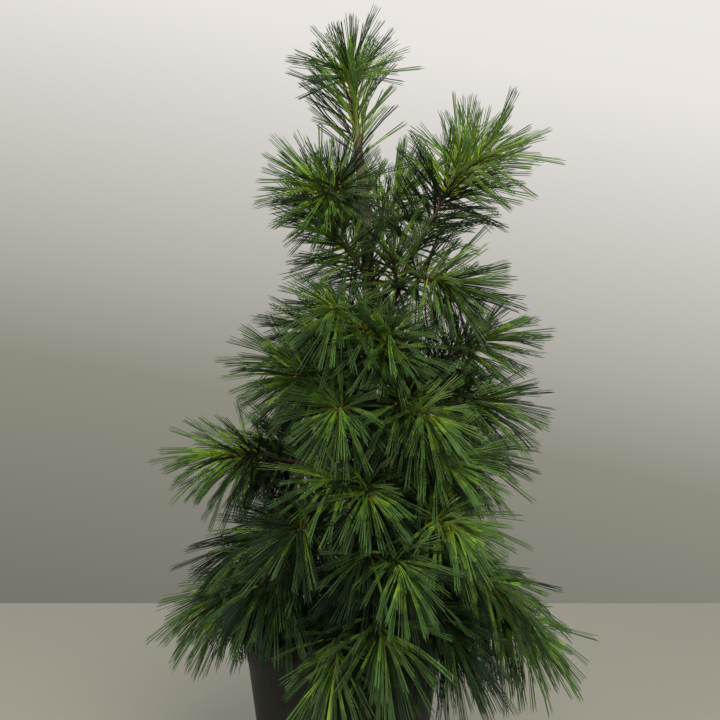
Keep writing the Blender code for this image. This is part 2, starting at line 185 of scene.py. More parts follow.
def start_ring(name, radius, height, segments):
    """A filled circle in Edit Mode, its edge selected."""
    deselect()
    bpy.ops.mesh.primitive_circle_add(
        vertices=segments, radius=radius, fill_type="NGON", location=(0, 0, height)
    )
    piece = bpy.context.object
    piece.name = piece.data.name = name
    bpy.ops.object.transform_apply()
    bpy.ops.object.mode_set(mode="EDIT")
    bpy.ops.mesh.select_mode(type="EDGE")
    bpy.ops.mesh.select_all(action="SELECT")
    bpy.ops.mesh.region_to_loop()
    return piece


def grow_rings(stations):
    """Extrudes the selected edge through stations of (radius, height)."""
    for (radius, height), (next_radius, next_height) in zip(stations, stations[1:]):
        bpy.ops.mesh.extrude_region_move(
            TRANSFORM_OT_translate={"value": (0, 0, next_height - height)}
        )
        grow = next_radius / radius
        bpy.ops.transform.resize(value=(grow, grow, 1), center_override=(0, 0, 0))
    bpy.ops.mesh.edge_face_add()


def end_ring():
    bpy.ops.mesh.select_all(action="SELECT")
    bpy.ops.mesh.normals_make_consistent(inside=False)
    bpy.ops.object.mode_set(mode="OBJECT")


def smooth(piece):
    piece.data.polygons.foreach_set("use_smooth", [True] * len(piece.data.polygons))


def triangles(piece):
    piece.data.calc_loop_triangles()
    return len(piece.data.loop_triangles)


def hand_over(piece, nodes):
    """The piece rides on the one body and stands for its CAD nodes."""
    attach(piece, "root")
    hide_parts(*nodes)
    print(f"{piece.name}: {triangles(piece)} triangles for {len(nodes)} nodes")


print("shaping helpers ready")

# %% [markdown]
# ## The pot
#
# A nursery pot is blown from one thin skin of black plastic: a tapered wall, a shallow collar,
# and a rolled rim that the hand grips. The rings below follow that section up the outside, over
# the rim and down the inside.

# %% Model the pot
POT_HEIGHT = 0.241
POT_FOOT_RADIUS = 0.098
POT_TOP_RADIUS = 0.129
POT_WALL = 0.0025
POT_SEGMENTS = 128
# The foot, the rim and the inner floor are rings of (radius, height). The outside wall is rings
# of (height, how far proud of the taper), and the inside wall is heights alone.
FOOT = [(0.0945, 0), (0.0962, 0), (0.0974, 0.0003), (0.0981, 0.0010)]
OUTSIDE = [(0.0022, 0), (0.030, 0), (0.0312, 0.0005), (0.034, 0.0005), (0.0352, 0), (0.075, 0)]
OUTSIDE += [(0.115, 0), (0.155, 0), (0.194, 0), (0.1955, 0.0007), (0.2215, 0.0007)]
RIM = [(0.1314, 0.2226), (0.1328, 0.2232), (0.1337, 0.2246), (0.1340, 0.2268), (0.1340, 0.2370)]
RIM += [(0.1336, 0.2392), (0.1326, 0.2405), (0.1312, 0.2410), (0.1292, 0.2410), (0.1278, 0.2403)]
INSIDE = [0.236, 0.205, 0.150, 0.090, 0.040, 0.006]
INNER_FLOOR = [(POT_FOOT_RADIUS - POT_WALL - 0.0015, 0.0030), (0.0900, POT_WALL)]


def pot_radius(height):
    return POT_FOOT_RADIUS + (POT_TOP_RADIUS - POT_FOOT_RADIUS) * height / POT_HEIGHT


def model_pot():
    outside = [(pot_radius(height) + proud, height) for height, proud in OUTSIDE]
    inside = [(pot_radius(height) - POT_WALL, height) for height in INSIDE]
    pot = start_ring("nursery_pot", *FOOT[0], POT_SEGMENTS)
    grow_rings(FOOT + outside + RIM + inside + INNER_FLOOR)
    end_ring()
    return pot


pot = model_pot()
print("pot before its holes:", triangles(pot), "triangles")

# %% [markdown]
# ### Drain holes
#
# Water leaves through six round holes where the wall meets the foot. They could be knifed out by
# hand, but a rod laid through the wall and a Boolean modifier give a clean edge in one step.

# %% Drill the drain holes
DRAIN_COUNT = 6
DRAIN_RADIUS = 0.007
DRAIN_HEIGHT = 0.012
DRAIN_SEGMENTS = 28
DRAIN_ROD = 0.03
CREASE_ANGLE = math.radians(32)


def lay_rod(turn):
    out = (POT_FOOT_RADIUS * math.cos(turn), POT_FOOT_RADIUS * math.sin(turn), DRAIN_HEIGHT)
    deselect()
    bpy.ops.mesh.primitive_cylinder_add(
        vertices=DRAIN_SEGMENTS, radius=DRAIN_RADIUS, depth=DRAIN_ROD, location=out,
        rotation=(0, math.radians(90), turn),
    )
    bpy.ops.object.transform_apply()
    return bpy.context.object


def drill_drains(pot):
    rods = [lay_rod(math.tau * (k + 0.5) / DRAIN_COUNT) for k in range(DRAIN_COUNT)]
    deselect()
    for rod in rods:
        rod.select_set(True)
    bpy.context.view_layer.objects.active = rods[0]
    bpy.ops.object.join()
    spokes = bpy.context.object
    cut = pot.modifiers.new("drain holes", "BOOLEAN")
    cut.operation = "DIFFERENCE"
    cut.object = spokes
    pick(pot)
    bpy.ops.object.modifier_apply(modifier=cut.name)
    bpy.data.objects.remove(spokes)


drill_drains(pot)
pick(pot)
bpy.ops.object.shade_smooth_by_angle(angle=CREASE_ANGLE)
print("pot:", triangles(pot), "triangles")

# %% [markdown]
# ### Black plastic
#
# The real pot is nearly black, with a soft sheen. A flat black looks like a hole in the picture,
# so the finish has a fine moulded grain, and a thin film of dust and water marks that lightens it
# in slow patches and dulls the sheen there.

# %% Finish the pot
CLEAN_BLACK = (0.0035, 0.0036, 0.0034)
DUSTY_BLACK = (0.0105, 0.0105, 0.0090)


def pot_finish():
    material = plain_finish("black_plastic", (0.007, 0.007, 0.007), 0.5, 0.22)
    film = noise_on_object(material, 11, 5, (1, 1, 0.45))
    colour_by(material, film, [(0.30, CLEAN_BLACK), (0.72, DUSTY_BLACK)])
    dulling = add_node(material, "ShaderNodeMapRange", To_Min=0.42, To_Max=0.66)
    wire(film, "Fac", dulling, "Value")
    wire(dulling, "Result", shader_of(material), "Roughness")
    raise_by(material, noise_on_object(material, 620, 2), 0.35, 0.00025)
    return material


give_finish(pot, pot_finish())
hand_over(pot, ["pot"])

# %% [markdown]
# ## The potting mix
#
# The mix is composted bark. It fills the pot to 26 mm below the rim and slumps at the wall. It is
# grown in rings like the pot, and its top is inset again and again to take a relief of lumps.

# %% Model the potting mix
SOIL_TOP = 0.215
SOIL_EDGE = 0.211
SOIL_REACH = 0.122
SOIL_FLAT_SHARE = 0.37
SOIL_FLOOR = POT_WALL + 0.0003
SOIL_SEGMENTS = 112
SOIL_INSETS = 40
SOIL_RINGS = [(pot_radius(SOIL_FLOOR) - 0.0046, SOIL_FLOOR)]
SOIL_RINGS += [(pot_radius(SOIL_EDGE) - 0.0031, SOIL_EDGE)]
LUMPS_PER_METRE = 75
LUMP_HEIGHT = 0.0016
LUMP_SINK = 0.0006


def soil_height(x, y):
    reach = min(math.hypot(x, y) / SOIL_REACH, 1)
    slump = (SOIL_TOP - SOIL_EDGE) * max(0, (reach - SOIL_FLAT_SHARE) / (1 - SOIL_FLAT_SHARE))
    place = Vector((x * LUMPS_PER_METRE, y * LUMPS_PER_METRE, 0))
    lumps = noise.fractal(place, 0.6, 2.1, 5)
    return SOIL_TOP - slump + LUMP_HEIGHT * lumps - LUMP_SINK


def model_soil():
    soil = start_ring("potting_mix", *SOIL_RINGS[0], SOIL_SEGMENTS)
    grow_rings(SOIL_RINGS)
    step = SOIL_RINGS[-1][0] / (SOIL_INSETS + 1)
    for _ in range(SOIL_INSETS):
        bpy.ops.mesh.inset(thickness=step)
    end_ring()
    for vertex in soil.data.vertices:
        if vertex.co.z > SOIL_EDGE - 0.001:
            vertex.co.z = soil_height(vertex.co.x, vertex.co.y)
    smooth(soil)
    return soil


soil = model_soil()
print("potting mix:", triangles(soil), "triangles")

# %% [markdown]
# ### Bark chips
#
# Loose chips lie on the mix. Each is a flat splinter: a box with uneven corners, tilted a little
# and turned at random. There are so many that they are one mesh made from arrays, as the buds and
# the needles are later.

# %% Strew the bark chips
CHIP_COUNT = 1500
CHIP_REACH = 0.119
CHIP_LENGTH = (0.0020, 0.0070)
CHIP_WIDTH = (0.0012, 0.0030)
CHIP_THICKNESS = (0.0004, 0.0012)
CHIP_RAGGED = (0.55, 1.10)
CHIP_TILT = 0.28
CHIP_LIFT = 0.0009


def mesh_from_arrays(name, points, face_sets, looks):
    """One mesh. The faces of a set have as many corners."""
    mesh = bpy.data.meshes.new(name)
    mesh.vertices.add(len(points))
    mesh.vertices.foreach_set("co", points.astype(np.float32).ravel())
    corners = np.concatenate([faces.ravel() for faces in face_sets]).astype(np.int32)
    mesh.loops.add(len(corners))
    mesh.loops.foreach_set("vertex_index", corners)
    sizes = np.concatenate([np.full(len(faces), faces.shape[1]) for faces in face_sets])
    mesh.polygons.add(len(sizes))
    mesh.polygons.foreach_set("loop_start", (np.cumsum(sizes) - sizes).astype(np.int32))
    mesh.polygons.foreach_set("material_index", looks.astype(np.int32))
    mesh.update(calc_edges=True)
    return new_object(name, mesh)


def repeated(faces, count, points_each):
    """The faces of one small thing, numbered on for count of them."""
    numbered = np.array(faces)[None] + points_each * np.arange(count)[:, None, None]
    return numbered.reshape(-1, numbered.shape[-1])


def ring_faces(sides, bands):
    corners = ((0, 0), (0, 1), (1, 1), (1, 0))
    return [
        [sides * (k + up) + (j + on) % sides for up, on in corners]
        for k in range(bands)
        for j in range(sides)
    ]


def turned(a, b, angle):
    return a * np.cos(angle) - b * np.sin(angle), a * np.sin(angle) + b * np.cos(angle)


def model_chips():
    dice = np.random.default_rng(11)
    reach = CHIP_REACH * np.sqrt(dice.uniform(0, 1, CHIP_COUNT))
    turn = dice.uniform(0, math.tau, CHIP_COUNT)
    x, y = reach * np.cos(turn), reach * np.sin(turn)
    z = np.array([soil_height(a, b) for a, b in zip(x, y)])
    sizes = (CHIP_LENGTH, CHIP_WIDTH, CHIP_THICKNESS)
    size = np.stack([dice.uniform(*span, CHIP_COUNT) for span in sizes], 1)
    square = ((-1, -1), (1, -1), (1, 1), (-1, 1))
    box = np.array([[sx, sy, sz] for sz in (-1, 1) for sx, sy in square])
    corners = box[None] * size[:, None] * dice.uniform(*CHIP_RAGGED, (CHIP_COUNT, 8, 3))
    yaw = dice.uniform(0, math.tau, CHIP_COUNT)[:, None]
    tilt = dice.normal(0, CHIP_TILT, CHIP_COUNT)[:, None]
    roll = dice.normal(0, CHIP_TILT, CHIP_COUNT)[:, None]
    cx, cy, cz = np.moveaxis(corners, 2, 0)
    cx, cz = turned(cx, cz, tilt)
    cy, cz = turned(cy, cz, roll)
    cx, cy = turned(cx, cy, yaw)
    points = np.stack([cx + x[:, None], cy + y[:, None], cz + z[:, None] + CHIP_LIFT], 2)
    faces = repeated([[0, 3, 2, 1], [4, 5, 6, 7]] + ring_faces(4, 1), CHIP_COUNT, 8)
    looks = np.repeat(dice.integers(0, 3, CHIP_COUNT), 6)
    return mesh_from_arrays("bark_chips", points.reshape(-1, 3), [faces], looks)


chips = model_chips()
print("chips:", CHIP_COUNT)

# %% [markdown]
# ### Composted bark
#
# Damp bark mix is dark brown with paler crumbs. One noise pattern gives both their colour and
# their bump, so that each pale crumb stands out. The chips have one of three plain browns each.

# %% Finish the mix and the chips
DAMP_BROWN = (0.010, 0.007, 0.005)
MIX_BROWN = (0.030, 0.019, 0.012)
CRUMB_BROWN = (0.060, 0.036, 0.022)


def soil_finish():
    material = plain_finish("bark_mix", (0.03, 0.02, 0.013), 0.95, 0.2)
    crumbs = noise_on_object(material, 260, 6)
    colour_by(material, crumbs, [(0.36, DAMP_BROWN), (0.55, MIX_BROWN), (0.66, CRUMB_BROWN)])
    raise_by(material, crumbs, 0.8, 0.0012)
    return material


give_finish(
    chips,
    plain_finish("chip_dark", MIX_BROWN, 0.9, 0.3),
    plain_finish("chip_brown", (0.075, 0.043, 0.024), 0.85, 0.3),
    plain_finish("chip_pale", (0.130, 0.085, 0.052), 0.85, 0.3),
)
give_finish(soil, soil_finish())
hand_over(soil, ["soil"])
hand_over(chips, ["soil"])

# %% [markdown]
# ## The plan of the plant
#
# The limbs and the foliage follow the CAD source's seeded rule and its numbers. Each whorl has a
# height on the trunk, an arch, a droop, and its boughs: azimuth in degrees, reach, height of the
# tip, and whether a bare limb shows before the foliage starts.

# %% The numbers of the plan
TRUNK_TOP = 0.932
TRUNK_LEAN = 0.010
TRUNK_BOW = 0.029
TRUNK_SWAY = 0.006
TRUNK_FOOT_RADIUS = 0.0128
TRUNK_TIP_RADIUS = 0.0026
TRUNK_FULLNESS = 0.62
FLARE = 0.008
FLARE_HEIGHT = 0.014
LIMB_RADIUS = 0.0045
LIMB_TAPER = 0.55
LIMB_SHARE = 0.5
WHORL_STEP = 0.011
TERMINAL_LENGTH = 0.055
SIDES = ("right", "back_right", "back", "back_left", "left", "front_left", "front", "front_right")
WHORLS = {
    "skirt": (0.272, 0.050, 0.70, [
        (36, 0.195, 0.262, False), (86, 0.185, 0.250, False), (144, 0.190, 0.258, False),
        (187, 0.172, 0.276, True), (229, 0.165, 0.318, False), (264, 0.172, 0.222, True),
        (284, 0.186, 0.268, False), (317, 0.180, 0.250, False), (341, 0.200, 0.300, True),
        (354, 0.236, 0.236, True),
    ]),
    "lower": (0.345, 0.035, 0.50, [
        (52, 0.175, 0.366, False), (116, 0.176, 0.354, False), (196, 0.150, 0.350, False),
        (246, 0.176, 0.392, True), (286, 0.196, 0.350, False), (308, 0.188, 0.394, True),
    ]),
    "middle": (0.425, 0.025, 0.38, [
        (15, 0.160, 0.452, False), (80, 0.168, 0.448, False), (142, 0.168, 0.452, False),
        (183, 0.183, 0.462, True), (272, 0.152, 0.430, False), (313, 0.150, 0.464, False),
    ]),
    "belt": (0.510, 0.015, 0.38, [
        (48, 0.142, 0.548, False), (120, 0.142, 0.540, False), (222, 0.118, 0.566, False),
        (256, 0.154, 0.536, True), (299, 0.150, 0.526, False), (281, 0.128, 0.622, False),
        (334, 0.162, 0.534, False), (353, 0.150, 0.610, True),
    ]),
    "waist": (0.606, 0.005, 0.36, [
        (88, 0.098, 0.628, False), (160, 0.080, 0.615, False), (249, 0.128, 0.652, True),
    ]),
    "shoulder": (0.735, 0.000, 0.12, [
        (40, 0.060, 0.796, False), (118, 0.074, 0.792, False), (234, 0.099, 0.798, True),
    ]),
}
# The strong limb rises beside the leader. Its branches leave it at a share of its length.
STRONG_START = 0.570
STRONG_TIP = (0.155, -0.030, 0.827)
STRONG_KNEE = (-0.014, -0.036, 0.030)
STRONG_RADIUS = 0.0052
BRANCHES = {
    "left": (0.26, (-0.013, -0.068, 0.748)),
    "middle": (0.34, (0.062, -0.050, 0.712)),
    "right": (0.43, (0.131, -0.078, 0.680)),
}
BRANCH_ARCH = -0.006
BRANCH_DROOP = 0.14
print("whorls:", {whorl: len(rows) for whorl, (_, _, _, rows) in WHORLS.items()})

# %% [markdown]
# ### Lines to grow along
#
# The trunk's line leans, bows and sways a little, and tapers from the flare to the tip. A bough
# is an arched line from the trunk to its tip. Both are worked out from a share, so any piece can
# ask for a place, a heading or a thickness along them.

# %% Trunk and boughs as lines


def trunk_share(height):
    return (height - SOIL_TOP) / (TRUNK_TOP - SOIL_TOP)


def trunk_point(height):
    share = trunk_share(height)
    x = TRUNK_LEAN * share + TRUNK_BOW * math.sin(math.pi * share)
    y = TRUNK_SWAY * math.sin(math.tau * share)
    return Vector((x, y, height))


def flare_at(height):
    """1 at the foot of the trunk, fading over the height of the flare."""
    return math.exp(-max(height - SOIL_TOP, 0) / FLARE_HEIGHT)


def trunk_radius(height):
    share = min(max(trunk_share(height), 0), 1)
    spread = TRUNK_FOOT_RADIUS - TRUNK_TIP_RADIUS
    taper = TRUNK_TIP_RADIUS + spread * (1 - share) ** TRUNK_FULLNESS
    return taper + FLARE * flare_at(height)


class Bough:
    """One bough from the trunk to the tip of its foliage."""

    def __init__(self, name, whorl, start, tip, arch, droop, limb):
        self.name, self.whorl, self.limb = name, whorl, limb
        self.start, self.tip, self.arch, self.droop = start, tip, arch, droop
        self.radius = LIMB_RADIUS
        self.from_share = LIMB_SHARE if limb else 0
        self.dice = random.Random(name)

    def at(self, share):
        knee = (self.start + self.tip) / 2 + self.arch
        return (
            self.start * (1 - share) ** 2
            + knee * 2 * share * (1 - share)
            + self.tip * share**2
        )

    def heading(self, share):
        return (self.at(share + 0.01) - self.at(share - 0.01)).normalized()

    def length(self):
        return (self.tip - self.start).length


def plan_whorl(whorl):
    height, arch, droop, rows = WHORLS[whorl]
    boughs = {}
    for index, (azimuth, reach, tip_height, limb) in enumerate(rows):
        name = f"{whorl}_{SIDES[round(azimuth / 45) % len(SIDES)]}"
        if name in boughs:
            name += "_low" if tip_height < height else "_2"
        start = trunk_point(height + WHORL_STEP * (index % 3 - 1))
        turn = math.radians(azimuth)
        out = Vector((reach * math.cos(turn), reach * math.sin(turn), tip_height - start.z))
        bend = Vector((0, 0, arch))
        boughs[name] = Bough(name, whorl, start, start + out, bend, droop, limb)
    return list(boughs.values())


def plan_strong_limb():
    start, tip, bend = trunk_point(STRONG_START), Vector(STRONG_TIP), Vector(STRONG_KNEE)
    strong = Bough("strong", "strong", start, tip, bend, BRANCH_DROOP, True)
    strong.radius = STRONG_RADIUS
    limbs = [strong]
    bend = Vector((0, 0, BRANCH_ARCH))
    for side, (share, tip) in BRANCHES.items():
        start = strong.at(share)
        name = f"strong_{side}"
        limbs.append(Bough(name, "strong", start, Vector(tip), bend, BRANCH_DROOP, False))
    return limbs


def foliage_of(members):
    return [f"foliage_{bough.name}" for bough in members]


boughs = [bough for whorl in WHORLS for bough in plan_whorl(whorl)] + plan_strong_limb()
missing = [node for node in foliage_of(boughs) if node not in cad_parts]
print("boughs:", len(boughs), "without a node in the frame:", missing)

# %% [markdown]
# ## The trunk
#
# The bark of a young white pine is faintly ridged at the foot and smoother higher up, with a
# swollen collar where each bough leaves. A path with a round bevel gives the taper and the bend
# at once. It becomes a mesh, and its points are pushed in and out, so that ridges and collars are
# real shape and not only shading.

# %% Model the trunk
RING_STEP = 0.0025
TRUNK_ROUND = 12
AXIS_POINT = 0.0005
FLARE_LOBES = 5
FLARE_LOBE_DEPTH = 0.16
RIDGES_PER_METRE = (210, 210, 38)
RIDGE_DEPTH = 0.0011
RIDGE_DEPTH_EVERYWHERE = 0.00025
FLAKES_PER_METRE = 420
FLAKE_DEPTH = 0.00022
COLLAR_WIDTH = 0.0085
COLLAR_HEIGHT = 0.0016


def limb_from_path(name, runs, roundness):
    """One mesh from several paths, each a list of points and their radii."""
    deselect()
    bpy.ops.curve.primitive_nurbs_path_add()
    path = bpy.context.object
    path.name = path.data.name = name
    curve = path.data
    curve.splines.clear()
    curve.bevel_depth = 1
    curve.bevel_resolution = roundness
    curve.use_fill_caps = True
    for points, radii in runs:
        spline = curve.splines.new("POLY")
        spline.points.add(len(points) - 1)
        spline.use_smooth = True
        for knot, point, radius in zip(spline.points, points, radii):
            knot.co = (*point, 1)
            knot.radius = radius
    bpy.ops.object.convert(target="MESH")
    return bpy.context.object


def bark_relief(point, coarse):
    """How far the bark stands out. Coarse is 1 at the foot and 0 at the top."""
    drawn_out = Vector([c * per_metre for c, per_metre in zip(point, RIDGES_PER_METRE)])
    ridges = noise.fractal(drawn_out, 0.7, 2.2, 4)
    flakes = noise.noise(point * FLAKES_PER_METRE)
    return (
        coarse * RIDGE_DEPTH * ridges + FLAKE_DEPTH * flakes + RIDGE_DEPTH_EVERYWHERE * ridges
    )


def collar(point):
    swell = 0
    for bough in boughs:
        if bough.whorl == "strong" and bough.name != "strong":
            continue
        away = bough.heading(0.05)
        foot = bough.start + away * trunk_radius(bough.start.z)
        near = (point - foot).length / COLLAR_WIDTH
        swell += COLLAR_HEIGHT * math.exp(-near * near)
    return swell


def model_trunk():
    count = int((TRUNK_TOP - SOIL_TOP) / RING_STEP)
    heights = [SOIL_TOP + (TRUNK_TOP - SOIL_TOP) * k / count for k in range(count + 1)]
    run = ([trunk_point(height) for height in heights], [trunk_radius(h) for h in heights])
    trunk = limb_from_path("trunk_bark", [run], TRUNK_ROUND)
    for vertex in trunk.data.vertices:
        out = vertex.co - trunk_point(vertex.co.z)
        out.z = 0
        if out.length < AXIS_POINT:
            continue
        lobes = math.cos(FLARE_LOBES * math.atan2(out.y, out.x))
        lobe = FLARE_LOBE_DEPTH * flare_at(vertex.co.z) * lobes
        coarse = max(0, 1 - trunk_share(vertex.co.z)) ** 1.3
        push = bark_relief(vertex.co, coarse) + collar(vertex.co)
        vertex.co += out * lobe + out.normalized() * push
    return trunk


trunk = model_trunk()
print("trunk:", triangles(trunk), "triangles")

# %% [markdown]
# ## The bare limbs
#
# Twelve boughs show a bare limb before their foliage starts. It runs over the first half of its
# bough, tapers to about half its thickness, and swells where it leaves the trunk. Small bumps and
# scars push its points along their normals.

# %% Model the bare limbs
LIMB_STEP = 0.002
LIMB_ROUND = 5
LIMB_SWELL = 0.35
LIMB_SWELL_FADE = 9
SCAR_DEPTH = 0.00035
BUMP_DEPTH = 0.0003


def limb_radius(bough, share):
    along = share / LIMB_SHARE
    slim = bough.radius * (1 - (1 - LIMB_TAPER) * min(along, 1))
    return slim * (1 + LIMB_SWELL * math.exp(-along * LIMB_SWELL_FADE))


def limb_run(bough):
    count = max(8, int(bough.length() * LIMB_SHARE / LIMB_STEP))
    shares = [LIMB_SHARE * (k + 1) / count for k in range(count)]
    return [bough.at(share) for share in shares], [limb_radius(bough, s) for s in shares]


def model_limbs():
    limbs = limb_from_path("bough_bark", [limb_run(b) for b in boughs if b.limb], LIMB_ROUND)
    limbs.data.update()
    normals = [vertex.normal.copy() for vertex in limbs.data.vertices]
    for vertex, normal in zip(limbs.data.vertices, normals):
        scars = noise.noise(vertex.co * 330)
        vertex.co += normal * (SCAR_DEPTH * scars + BUMP_DEPTH * noise.noise(vertex.co * 120))
    return limbs


limbs = model_limbs()
print("limbs:", triangles(limbs), "triangles")

# %% [markdown]
# ### Bark
#
# Bark is blotched with three browns. On the trunk the blotches are drawn out along its height,
# as the ridges are. The limbs are younger, and warmer in colour.

# %% Finish the bark
TRUNK_BROWNS = [(0.020, 0.014, 0.010), (0.058, 0.040, 0.027), (0.120, 0.088, 0.060)]
LIMB_BROWNS = [(0.030, 0.018, 0.010), (0.085, 0.050, 0.026), (0.150, 0.095, 0.055)]


def bark_finish(name, browns, stretch):
    dark, middle, light = browns
    material = plain_finish(name, middle, 0.85, 0.3)
    blotches = noise_on_object(material, 70, 8, stretch)
    colour_by(material, blotches, [(0.34, dark), (0.52, middle), (0.70, light)])
    raise_by(material, noise_on_object(material, 420, 5, stretch), 0.6, 0.0007)
    return material


give_finish(trunk, bark_finish("trunk_bark", TRUNK_BROWNS, (1, 1, 0.35)))
give_finish(limbs, bark_finish("limb_bark", LIMB_BROWNS, (1, 1, 1)))
hand_over(trunk, ["trunk"])
hand_over(limbs, [f"bough_{bough.name}" for bough in boughs if bough.limb])

# %% [markdown]
# ## Shoots
#
# Each bough carries on as last year's stem, which ends in this year's shoot, with side shoots
# left and right of it. The first two are those of the CAD source, and finer ones are added by the
# same rule. A side shoot that would run into another one, or into another bough, is left out.
#
# The strong limb and the shoulder are open in the photograph, so side shoots there also keep
# clear of their own end shoot. Elsewhere they stay within nine tenths of their bough's reach.

# %% Grow the shoots
STEM_FROM = 0.30
LATERAL_SHARE = 0.40
LATERAL_LEAST = 0.036
LATERAL_MOST = 0.060
LATERAL_ANGLE = 46
LATERAL_FROM = 0.66
LATERAL_STEP = 0.13
FINE_LENGTH = 0.052
TWIG_CLEAR = 0.013
FINE_CLEAR = 0.006
WITHIN_REACH = 0.90
OPEN_WHORLS = ("strong", "shoulder")
# Fine side shoots as (share of the stem, angle, rise, share of FINE_LENGTH), and two more on the
# strong limb as (share, angle, rise, length).
FINE_SHOOTS = [(0.60, -38, 0.50, 0.62), (0.72, 30, -0.45, 0.55)]
FINE_SHOOTS += [(0.88, 34, 0.45, 0.50), (0.50, 52, -0.1, 0.7)]
STRONG_SHOOTS = [(0.92, -42, -0.45, 0.052), (0.90, 30, 0.9, 0.036)]


class Shoot:
    """A straight length of twig that needles grow on."""

    def __init__(self, start, end, kind, bough):
        self.start, self.end, self.kind, self.bough = start, end, kind, bough

    def length(self):
        return (self.end - self.start).length


def side_shoot(bough, share, angle, rise, length, kind):
    across = Matrix.Rotation(angle, 3, "Z") @ bough.heading(share)
    heading = (across + Vector((0, 0, rise))).normalized()
    root = bough.at(share)
    return Shoot(root, root + heading * length, kind, bough)


def share_of_bough(bough, share):
    """A share of the part that bears foliage, as a share of the whole bough."""
    return bough.from_share + (1 - bough.from_share) * share


def source_side_shoot(bough, index):
    share = LATERAL_FROM + LATERAL_STEP * index + bough.dice.uniform(-0.03, 0.03)
    side = 1 if index % 2 else -1
    angle = side * math.radians(LATERAL_ANGLE + bough.dice.uniform(-8, 8))
    rise = bough.dice.uniform(0.0, 0.25)
    length = bough.length() * LATERAL_SHARE * bough.dice.uniform(0.85, 1.1)
    length = min(max(length, LATERAL_LEAST), LATERAL_MOST)
    return side_shoot(bough, share_of_bough(bough, share), angle, rise, length, "side")


def fine_side_shoot(bough, share, angle, rise, size):
    share = share_of_bough(bough, share + bough.dice.uniform(-0.03, 0.03))
    angle = math.radians(angle + bough.dice.uniform(-9, 9))
    length = FINE_LENGTH * size * bough.dice.uniform(0.85, 1.15)
    return side_shoot(bough, share, angle, rise + bough.dice.uniform(-0.1, 0.1), length, "fine")


def gap_between(shoot, others):
    """The least distance from a shoot, past its foot, to the others."""
    starts = np.array([other.start for other in others])
    along = np.array([other.end for other in others]) - starts
    steps = np.linspace(0.25, 1, 8)[:, None]
    line = np.array(shoot.start) * (1 - steps) + np.array(shoot.end) * steps
    offset = line[:, None] - starts[None]
    share = np.clip((offset * along).sum(2) / np.maximum((along**2).sum(1), 1e-12), 0, 1)
    return np.linalg.norm(offset - share[..., None] * along, axis=2).min()


def grow_stem(bough):
    """Three lengths of last year's stem and this year's end shoot."""
    last = max(1 - TERMINAL_LENGTH / bough.length(), bough.from_share + 0.1)
    first = max(STEM_FROM, bough.from_share)
    joints = [first + (last - first) * k / 3 for k in range(4)]
    stem = [Shoot(bough.at(a), bough.at(b), "stem", bough) for a, b in zip(joints, joints[1:])]
    return stem + [Shoot(bough.at(last), bough.at(1), "end", bough)]


def has_room(shoot, clear, shoots):
    bough = shoot.bough
    is_open = bough.whorl in OPEN_WHORLS
    own = ("side", "fine", "end") if is_open else ("side", "fine")
    others = [other for other in shoots if other.bough is not bough or other.kind in own]
    reach = math.hypot(shoot.end.x, shoot.end.y) / math.hypot(bough.tip.x, bough.tip.y)
    return gap_between(shoot, others) > clear and (is_open or reach < WITHIN_REACH)


def grow_shoots():
    shoots = [shoot for bough in boughs for shoot in grow_stem(bough)]
    left_out = 0
    for bough in boughs:
        if bough.name == "strong":
            for share, angle, rise, length in STRONG_SHOOTS:
                shoots.append(side_shoot(bough, share, math.radians(angle), rise, length, "side"))
        tries = [(source_side_shoot(bough, index), TWIG_CLEAR) for index in range(2)]
        tries += [(fine_side_shoot(bough, *row), FINE_CLEAR) for row in FINE_SHOOTS]
        for shoot, clear in tries:
            if has_room(shoot, clear, shoots):
                shoots.append(shoot)
            else:
                left_out += 1
    print("shoots:", len(shoots), "left out:", left_out)
    return shoots


shoots = grow_shoots()

# %% [markdown]
# ### Twigs
#
# The twigs are paths with a round bevel too, all in one curve. A bough's stem is one run and its
# young end is a second. They are grey-brown and show wherever the needles part.

# %% Model the twigs
TWIG_POINTS = 15
YOUNG_FROM = 10
STEM_THICK = 0.0036
STEM_THIN = 0.0016
SIDE_RADII = [0.0022, 0.0019, 0.0018, 0.0017, 0.0015]
TWIG_ROUND = 2


def model_twigs():
    runs = []
    steps = [k / (TWIG_POINTS - 1) for k in range(TWIG_POINTS)]
    for bough in boughs:
        thick = bough.radius * LIMB_TAPER if bough.limb else STEM_THICK
        radii = [thick + (STEM_THIN - thick) * step for step in steps]
        points = [bough.at(share_of_bough(bough, step)) for step in steps]
        runs.append((points[: YOUNG_FROM + 1], radii[: YOUNG_FROM + 1]))
        runs.append((points[YOUNG_FROM:], radii[YOUNG_FROM:]))
    for shoot in shoots:
        if shoot.kind in ("side", "fine"):
            points = [shoot.start.lerp(shoot.end, k / 4) for k in range(5)]
            runs.append((points, SIDE_RADII))
    return limb_from_path("twigs", runs, TWIG_ROUND)


twigs = model_twigs()
give_finish(twigs, plain_finish("old_twig", (0.060, 0.038, 0.024), 0.8, 0.3))
print("twigs:", triangles(twigs), "triangles")

# %% [markdown]
# ## Needles
#
# A white pine bears its needles in bundles of five, which leave the twig along a spiral with the
# golden angle between one and the next. They lean out at the foot of a shoot, point forward at
# its tip, and bend down under their own weight. Needles could be instances on points, but the
# export drops instances, so they are meshes worked out as arrays.
#
# A needle is yellow-green where it leaves the twig, green along its middle, darker at its point,
# and greyish on one inner face, as the real needle is.

